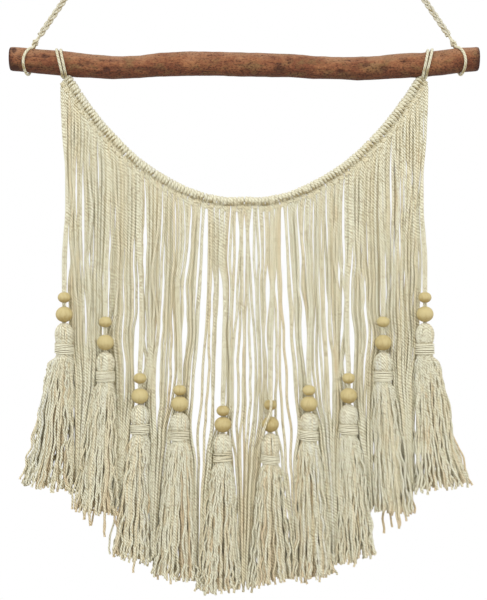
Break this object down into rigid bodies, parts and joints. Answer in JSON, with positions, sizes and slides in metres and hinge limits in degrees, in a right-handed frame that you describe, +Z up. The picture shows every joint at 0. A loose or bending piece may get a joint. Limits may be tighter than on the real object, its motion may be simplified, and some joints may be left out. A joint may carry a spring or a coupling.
{
  "type": "macrame wall hanging on a branch",
  "caption": "Macrame wall hanging on a wooden branch: curved knotted header, string curtain and beaded tassels in a V, with a twisted cord hanger.",
  "frame": {"origin": "the hanging point: the underside of the hanger's bend, where the hook carries it", "axes": "+Z up, +X to the viewer's right, +Y towards the wall; the front faces -Y"},
  "size_m": [0.5504, 0.039, 0.9948],
  "materials": {
    "branch_wood": "bark-stripped reddish-brown wood, matte with a faint sheen on top",
    "cotton_cord": "undyed twisted cotton cord, matte",
    "strand_cord": "undyed twisted cotton cord, matte, slightly warmer",
    "bead_wood": "pale turned wood, smooth and matte"
  },
  "bodies": {
    "root": {"branch": "branch_wood", "hanger_left": "cotton_cord", "hanger_right": "cotton_cord", "tie_left": "cotton_cord", "tie_right": "cotton_cord", "header_loop_left": "cotton_cord", "header_loop_right": "cotton_cord", "header": "cotton_cord", "fringe": "strand_cord", "bead_cord_01": "strand_cord", "bead_cord_02": "strand_cord", "bead_cord_03": "strand_cord", "bead_cord_04": "strand_cord", "bead_cord_05": "strand_cord", "bead_cord_06": "strand_cord", "bead_cord_07": "strand_cord", "bead_cord_08": "strand_cord", "bead_cord_09": "strand_cord", "bead_cord_10": "strand_cord", "bead_small_01": "bead_wood", "bead_small_02": "bead_wood", "bead_small_03": "bead_wood", "bead_small_04": "bead_wood", "bead_small_05": "bead_wood", "bead_small_06": "bead_wood", "bead_small_07": "bead_wood", "bead_small_08": "bead_wood", "bead_small_09": "bead_wood", "bead_small_10": "bead_wood", "bead_large_01": "bead_wood", "bead_large_02": "bead_wood", "bead_large_03": "bead_wood", "bead_large_04": "bead_wood", "bead_large_05": "bead_wood", "bead_large_06": "bead_wood", "bead_large_07": "bead_wood", "bead_large_08": "bead_wood", "bead_large_09": "bead_wood", "bead_large_10": "bead_wood", "tassel_01": "cotton_cord", "tassel_02": "cotton_cord", "tassel_03": "cotton_cord", "tassel_04": "cotton_cord", "tassel_05": "cotton_cord", "tassel_06": "cotton_cord", "tassel_07": "cotton_cord", "tassel_08": "cotton_cord", "tassel_09": "cotton_cord", "tassel_10": "cotton_cord", "binding_01": "cotton_cord", "binding_02": "cotton_cord", "binding_03": "cotton_cord", "binding_04": "cotton_cord", "binding_05": "cotton_cord", "binding_06": "cotton_cord", "binding_07": "cotton_cord", "binding_08": "cotton_cord", "binding_09": "cotton_cord", "binding_10": "cotton_cord"}
  },
  "joints": []
}
